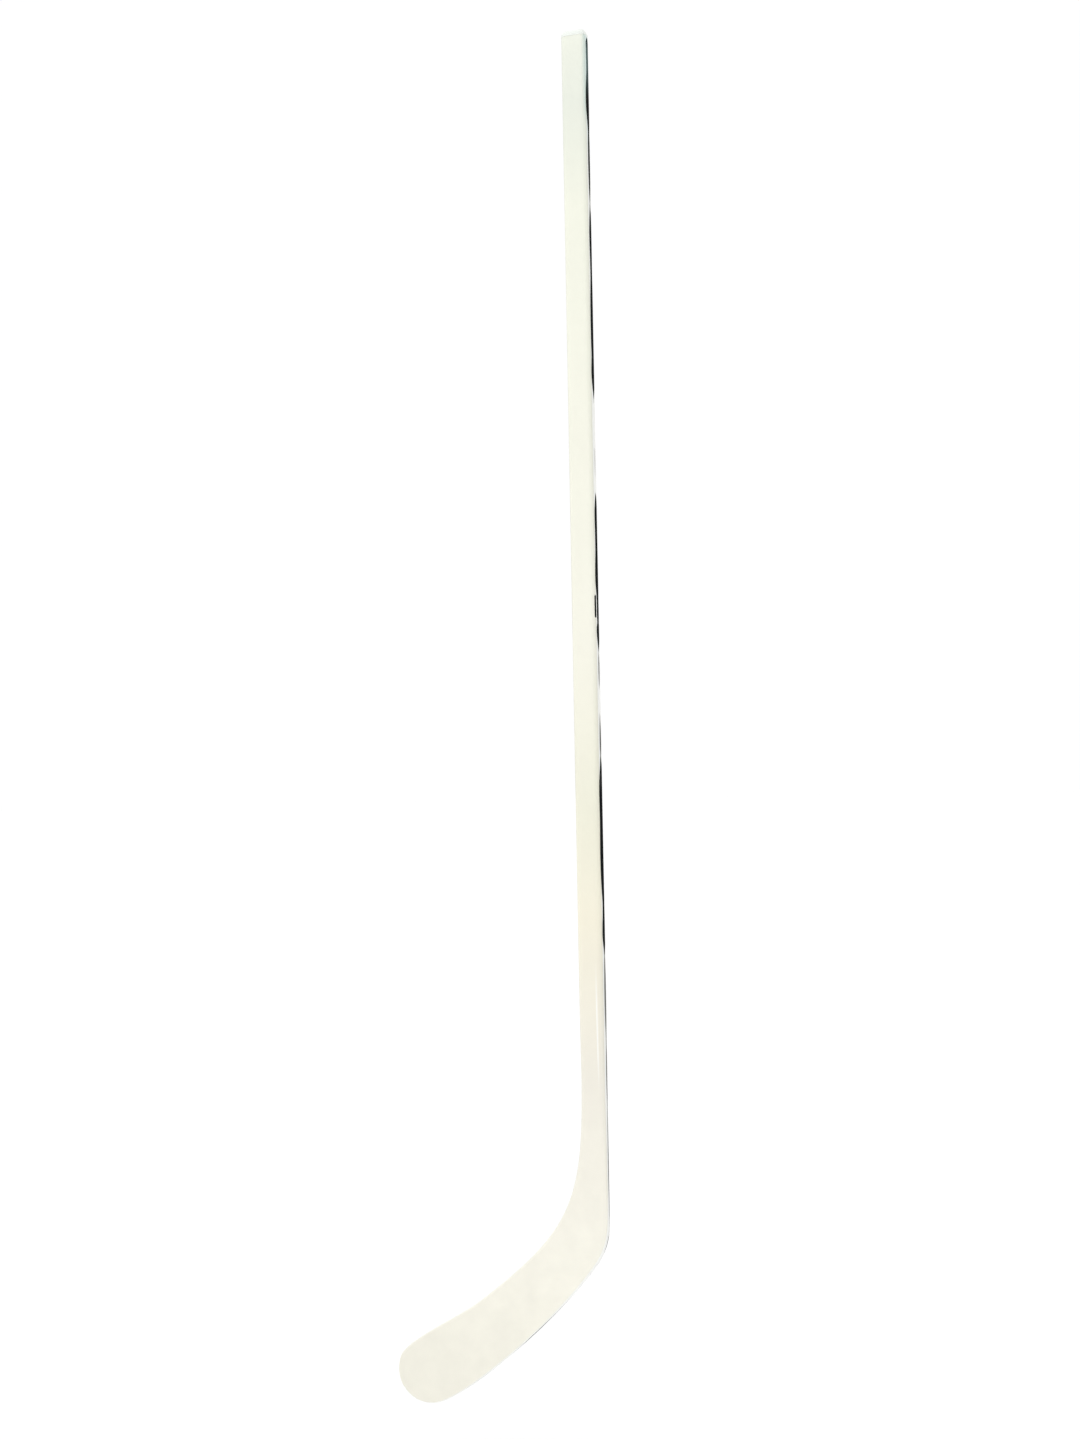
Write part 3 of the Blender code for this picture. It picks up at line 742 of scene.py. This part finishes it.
def foam():
    """Cut structural foam: fine open cells, their pockets painted darker than the walls as painted shade, and a
    slightly darker skin here and there.
    """
    t = Tree("cut_foam")
    cell = t.cells(1500.0)
    wall = t.remap(cell, 0.02, 0.16, 1.0, 0.0)
    tint = t.noise(45.0, 3.0, 0.6)
    tone = t.ramp(tint, [(0.30, (0.70, 0.58, 0.33)), (0.60, (0.80, 0.69, 0.44)), (0.80, (0.86, 0.77, 0.54))])
    # the cell pockets are painted darker than their walls: painted shade
    tone = t.mix(t.math("MULTIPLY", wall, 0.55), t.scale(tone, 0.80), tone)
    bumped = t.bump(wall, 0.6, 0.00025)
    return t.finish(Base_Color=tone, Roughness=0.92, Coat_Weight=0.0, Specular_IOR_Level=0.2, Normal=bumped)


LACQUER = painted_laminate()
WEAVE = bare_laminate()
MOULDED = plug_plastic()
EPOXY = epoxy()
FOAM = foam()

# ----------------------------------------------------------------------------------------------------------------
# The visible pieces
# ----------------------------------------------------------------------------------------------------------------
SHAFT_TOP = STICK_LENGTH - PLUG_FLANGE - CLEARANCE
RECESS = WRAP_DEPTH + CLEARANCE
WRAP_TOP, WRAP_END = JOINT_H + WRAP_HALF, JOINT_H - WRAP_HALF
HALF_GAP = CLEARANCE / 2


def steps(top, bottom, pitch):
    n = max(1, round((top - bottom) / pitch))
    return [top + (bottom - top) * k / n for k in range(n + 1)]


# heights of the level rows that the three lengths of the outer surface share
shaft_heights = [SHAFT_TOP - 0.00015] + steps(SHAFT_TOP - 0.0020, 0.352, 0.0060)
shaft_heights += steps(0.352, WRAP_TOP, 0.0040)[1:]
wrap_heights = steps(WRAP_TOP, WRAP_END, 0.0040)
neck_heights = steps(WRAP_END, FAN_TOP, 0.0030)

fan = blade_rows()
runs = {"a": [], "b": []}
for which in runs:
    far = STICK_LENGTH - FAN_TOP
    last = np.array(fan[0][which][:2])
    for rw in fan:
        here = np.array(rw[which][:2])
        far += float(np.hypot(*(here - last)))
        runs[which].append(far)
        last = here
# the front edge is the shorter way round: both edges reach the toe together for the tints
scale_a = (runs["b"][-1] - runs["b"][0]) / (runs["a"][-1] - runs["a"][0])
fan_runs = [(runs["a"][0] + (ra - runs["a"][0]) * scale_a, rb) for ra, rb in zip(runs["a"], runs["b"])]

level = [level_row(h) for h in shaft_heights + wrap_heights[1:] + neck_heights[1:]]
learn_normals([level_row(h) for h in shaft_heights + wrap_heights[1:]], SHAFT_CHORDS)
learn_normals([level_row(h) for h in wrap_heights[-2:]] + [level_row(h) for h in neck_heights[1:]] + fan[1:], BLADE_CHORDS)


def ring_values(rw, d, chords, run_a, run_b):
    front = half(rw, d, -1.0, chords)
    values = skin_values(rw, half(rw, 0.0, -1.0, chords), run_a, run_b)
    rear = half(rw, d, 1.0, chords)
    return [p for p, *_ in front + rear[-2:0:-1]], values + values[-2:0:-1]


def tube_piece(name, outer, inner, inner_slots):
    """A tube open at both ends: outer rows from the top down, inner rows from the bottom up."""
    rings, numbers = [], []
    for rw, d, h in outer + inner:
        ring, values = ring_values(rw, d, SHAFT_CHORDS, STICK_LENGTH - h, STICK_LENGTH - h)
        rings.append(ring)
        numbers += values
    first_inner = len(outer)
    rings.append(rings[0])
    numbers += numbers[: len(rings[0])]
    verts, faces, slot, outside = lathe(
        name, rings, lambda i, k: 1 if i >= first_inner else 0, True,
        outer_of=lambda i, k: i < len(outer) - 1 and outer[i][1] == 0.0 and outer[i + 1][1] == 0.0)
    slot = np.array(slot)
    slots = [(LACQUER, np.flatnonzero(slot == 0)), (inner_slots, np.flatnonzero(slot == 1))]
    return mesh(name, verts, faces, slots, outside, {label: [v[j] for v in numbers] for j, label in enumerate(LABELS)})


outer = [(level_row(SHAFT_TOP), 0.00015, SHAFT_TOP)] + [(level_row(h), 0.0, h) for h in shaft_heights]
outer += [(level_row(h), RECESS, h) for h in (WRAP_TOP, JOINT_H + HALF_GAP)]
inner_h = [JOINT_H + HALF_GAP, 0.225, 0.250, 0.280, 0.310, 0.345, 0.600, 1.000, SHAFT_TOP - 0.0600, SHAFT_TOP]
inner = [(level_row(h), SHAFT_WALL, h) for h in inner_h]
shaft = tube_piece("shaft_laminate", outer, inner, WEAVE)
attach(shaft, "stick")
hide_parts("shaft_tube")

outer = [(level_row(h), 0.0, h) for h in wrap_heights]
inner = [(level_row(h), WRAP_DEPTH, h) for h in wrap_heights[::-1]]
wrap = tube_piece("joint_wrap_lacquered", outer, inner, WEAVE)
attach(wrap, "stick")
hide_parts("joint_wrap")


def skin_depth(rw):
    h = 0.5 * (rw["a"][1] + rw["b"][1])
    return BLADE_SKIN + (NECK_SKIN - BLADE_SKIN) * smooth((h - 0.06) / 0.07)


def blade_side(name, sign, node):
    stations = [(level_row(h), RECESS, STICK_LENGTH - h, STICK_LENGTH - h) for h in (JOINT_H - HALF_GAP, 0.190, WRAP_END)]
    stations += [(level_row(h), 0.0, STICK_LENGTH - h, STICK_LENGTH - h) for h in neck_heights]
    stations += [(rw, 0.0, ra, rb) for rw, (ra, rb) in zip(fan[1:], fan_runs[1:])]
    rings, numbers = [], []
    for rw, d, ra, rb in stations:
        out = half(rw, d, sign, BLADE_CHORDS)
        back = half(rw, skin_depth(rw), sign, BLADE_CHORDS)
        values = skin_values(rw, half(rw, 0.0, sign, BLADE_CHORDS), ra, rb)
        rings.append([p for p, *_ in out] + [p for p, *_ in back[::-1]])
        numbers += values + values[::-1]
    n = len(rings[0])
    m = n // 2
    verts, faces, slot, outside = lathe(
        name, rings, lambda i, k: 0 if k < m - 1 else 1, True,
        outer_of=lambda i, k: k < m - 1 and stations[i][1] == 0.0 and stations[i + 1][1] == 0.0)
    for k in range(m - 1):
        faces.append((k, k + 1, n - 2 - k, n - 1 - k))
        slot.append(1)
    slot = np.array(slot)
    slots = [(LACQUER, np.flatnonzero(slot == 0)), (WEAVE, np.flatnonzero(slot == 1))]
    piece = mesh(name, verts, faces, slots, outside, {label: [v[j] for v in numbers] for j, label in enumerate(LABELS)})
    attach(piece, "stick")
    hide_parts(node)
    return piece


blade_side("blade_skin_forehand", -1.0, "blade_face_forehand")
blade_side("blade_skin_backhand", 1.0, "blade_face_backhand")


def butt_plug():
    sec = level_row(STICK_LENGTH)

    def at(h, d):
        rw = dict(sec)
        rw["a"] = (sec["a"][0], h, -1.0, 0.0)
        rw["b"] = (sec["b"][0], h, 1.0, 0.0)
        return [p for p, *_ in full_ring(rw, d, SHAFT_CHORDS)]

    top = STICK_LENGTH
    rib = SHAFT_WALL + CLEARANCE
    root = rib + 0.0007
    rings = [at(top - 0.0004, 0.0086), at(top - 0.0004, 0.0080), at(top, 0.0074)]
    for k in range(11):
        a = math.pi / 2 * k / 10
        rings.append(at(top - PLUG_FILLET * (1 - math.cos(a)), PLUG_FILLET * (1 - math.sin(a))))
    under = top - PLUG_FLANGE - SEAM_LAP
    rings += [at(under + 0.00015, 0.0), at(under, 0.00015), at(under, root - 0.0003), at(under - 0.0004, root)]
    for k in range(PLUG_RIBS):
        edge = under - 0.0045 - k * PLUG_RIB_PITCH
        rings += [at(edge, root), at(edge - 0.0006, rib + 0.0002), at(edge - 0.0010, rib), at(edge - 0.0022, rib),
                  at(edge - 0.0028, rib + 0.0003), at(edge - 0.0040, root)]
    tip = under - PLUG_SPIGOT
    rings += [at(tip + 0.0015, root), at(tip + 0.0005, root + 0.0002), at(tip, root + 0.0006), at(tip, root + PLUG_WALL),
              at(under - 0.0030, root + PLUG_WALL), at(under - 0.0020, root + PLUG_WALL + 0.0008)]
    verts, faces, slot, _ = lathe("plug", rings, lambda i, k: 0, True, caps=(True, True))
    piece = mesh("butt_plug_moulding", verts, faces, [(MOULDED, range(len(faces)))], sharp=40.0)
    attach(piece, "plug")
    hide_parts("butt_plug")


butt_plug()

for node, material in (("blade_tenon", WEAVE), ("blade_edge_bead", WEAVE), ("blade_bridge", WEAVE), ("tenon_bond", EPOXY),
                       ("tenon_foam", FOAM), ("shaft_foam_stop", FOAM), ("blade_core_upper", FOAM), ("blade_core_lower", FOAM)):
    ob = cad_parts[node]
    for s in ob.material_slots:
        s.material = material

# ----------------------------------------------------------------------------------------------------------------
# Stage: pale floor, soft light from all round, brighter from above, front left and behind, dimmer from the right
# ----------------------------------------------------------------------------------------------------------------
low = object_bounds()[0]
bm = bmesh.new()
bmesh.ops.create_circle(bm, cap_ends=True, cap_tris=False, segments=96, radius=40.0)
floor_mesh = bpy.data.meshes.new("floor")
bm.to_mesh(floor_mesh)
bm.free()
floor = bpy.data.objects.new("floor", floor_mesh)
floor.location = (0.0, 0.0, low.z - 0.0800)
bpy.context.scene.collection.objects.link(floor)
t = Tree("pale_floor")
floor_mesh.materials.append(t.finish(Base_Color=(0.975, 0.975, 0.975, 1.0), Roughness=1.0, Specular_IOR_Level=0.0))

world = bpy.data.worlds.new("soft_room")
bpy.context.scene.world = world
world.use_nodes = True
nt = world.node_tree
background = nt.nodes["Background"]
background.inputs["Color"].default_value = (1.0, 1.0, 1.0, 1.0)
coord = nt.nodes.new("ShaderNodeTexCoord")
parts = nt.nodes.new("ShaderNodeSeparateXYZ")
nt.links.new(coord.outputs["Generated"], parts.inputs[0])


def wmath(op, a, b=0.0, clamp=False):
    n = nt.nodes.new("ShaderNodeMath")
    n.operation = op
    n.use_clamp = clamp
    for i, v in enumerate((a, b)):
        if isinstance(v, bpy.types.NodeSocket):
            nt.links.new(v, n.inputs[i])
        else:
            n.inputs[i].default_value = v
    return n.outputs[0]


def glow(azimuth, height, power, amount):
    """A wide soft source in the room: azimuth 0 is in front of the wide side (-Y), 90 beside the narrow side (+X)."""
    a = math.radians(azimuth)
    source = Vector((math.sin(a), -math.cos(a), height)).normalized()
    facing = wmath("MULTIPLY", parts.outputs[0], source.x)
    facing = wmath("ADD", facing, wmath("MULTIPLY", parts.outputs[1], source.y))
    facing = wmath("ADD", facing, wmath("MULTIPLY", parts.outputs[2], source.z))
    return wmath("MULTIPLY", wmath("POWER", wmath("MAXIMUM", facing, 0.0), power), amount)


strength = wmath("ADD", wmath("MULTIPLY", wmath("MAXIMUM", parts.outputs[2], 0.0), 1.066), 0.279)
for source in (glow(-19.6, 0.12, 4.0, 0.779), glow(83.2, 0.0, 2.0, -0.179), glow(169.5, 0.0, 6.0, 0.880)):
    strength = wmath("ADD", strength, source)
strength = wmath("MAXIMUM", strength, 0.05)
# the room itself looks plain white, whichever way it is seen
seen = nt.nodes.new("ShaderNodeLightPath").outputs["Is Camera Ray"]
strength = wmath("ADD", wmath("MULTIPLY", strength, wmath("SUBTRACT", 1.0, seen)), wmath("MULTIPLY", seen, 1.01))
nt.links.new(strength, background.inputs["Strength"])


def softbox(name, where, aim, size, power):
    light = bpy.data.lights.new(name, "AREA")
    light.shape = "RECTANGLE"
    light.size, light.size_y = size
    light.energy = power
    ob = bpy.data.objects.new(name, light)
    ob.location = where
    ob.rotation_mode = "QUATERNION"
    ob.rotation_quaternion = (Vector(where) - Vector(aim)).to_track_quat("Z", "Y")
    ob.visible_camera = False
    bpy.context.scene.collection.objects.link(ob)
    return ob


softbox("strip_left", (-2.2, -2.0, 0.3), (0.0, 0.0, -0.8), (0.9, 2.0), 1.5)

# ----------------------------------------------------------------------------------------------------------------
# Camera, at the photograph's angle
# ----------------------------------------------------------------------------------------------------------------
TURN, PITCH, ROLL = math.radians(16.0), math.radians(1.84), math.radians(-1.04)
DISTANCE, FOCAL_PX = 1.804, 1534.2
AIM_Z, ASIDE = -0.7404, 0.0558
right = Vector((math.cos(TURN), math.sin(TURN), 0.0))
ahead = Vector((-math.sin(TURN), math.cos(TURN), 0.0))
up = Vector((0.0, 0.0, 1.0))
ahead2 = ahead * math.cos(PITCH) + up * math.sin(PITCH)
up2 = up * math.cos(PITCH) - ahead * math.sin(PITCH)
right3 = right * math.cos(ROLL) + up2 * math.sin(ROLL)
up3 = up2 * math.cos(ROLL) - right * math.sin(ROLL)
aim = Vector((0.0, 0.0, AIM_Z)) - right3 * ASIDE
eye = aim - ahead2 * DISTANCE
camera_data = bpy.data.cameras.new("camera")
camera_data.sensor_fit = "AUTO"
camera_data.sensor_width = 36.0
camera_data.lens = FOCAL_PX / 1440.0 * 36.0
camera_data.clip_start, camera_data.clip_end = 0.05, 200.0
camera = bpy.data.objects.new("camera", camera_data)
camera.matrix_world = Matrix((
    (right3.x, up3.x, -ahead2.x, eye.x),
    (right3.y, up3.y, -ahead2.y, eye.y),
    (right3.z, up3.z, -ahead2.z, eye.z),
    (0.0, 0.0, 0.0, 1.0),
))
bpy.context.scene.collection.objects.link(camera)
bpy.context.scene.camera = camera
bpy.context.scene.view_settings.view_transform = "Standard"
